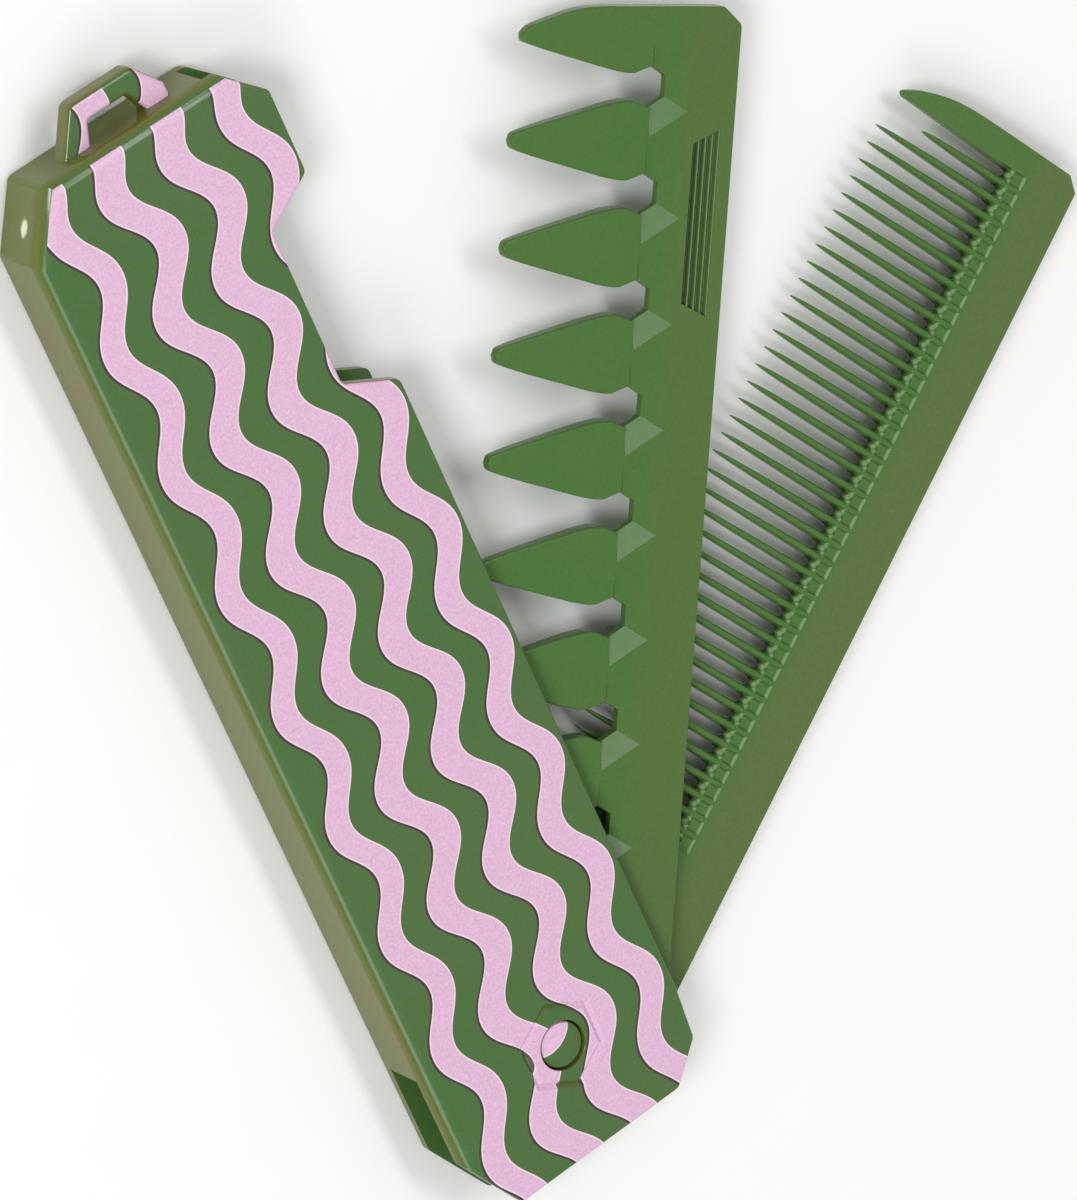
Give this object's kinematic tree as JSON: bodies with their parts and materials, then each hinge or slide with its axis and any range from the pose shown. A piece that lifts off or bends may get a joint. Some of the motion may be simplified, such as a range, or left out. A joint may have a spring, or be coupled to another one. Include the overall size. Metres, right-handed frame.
{
  "type": "folding comb",
  "caption": "Pocket comb in a slim chamfered case with a cord loop; a wide-toothed and a fine-toothed comb fold out of its open side on one pivot.",
  "frame": {"origin": "on the pivot axis, at the case's back face, which the comb lies on", "axes": "+Z out of the case's front face, +Y along the case towards the cord loop, +X towards the open side that the combs swing out of"},
  "size_m": [0.1135, 0.1312, 0.008],
  "materials": {
    "case_plastic": "semi-gloss moulded, printed front",
    "wide_comb_plastic": "semi-gloss moulded",
    "fine_comb_plastic": "semi-gloss moulded"
  },
  "bodies": {
    "case": {"case": "case_plastic"},
    "wide_comb": {"wide_comb": "wide_comb_plastic"},
    "fine_comb": {"fine_comb": "fine_comb_plastic"}
  },
  "joints": [
    {"name": "wide_comb_hinge", "type": "hinge", "parent": "case", "child": "wide_comb", "pos_m": [0, 0, 0.005], "axis": [0, 0, 1], "range_deg": [-149.3, 30.7]},
    {"name": "fine_comb_hinge", "type": "hinge", "parent": "case", "child": "fine_comb", "pos_m": [0, 0, 0.00275], "axis": [0, 0, 1], "range_deg": [-122.3, 57.7]}
  ]
}
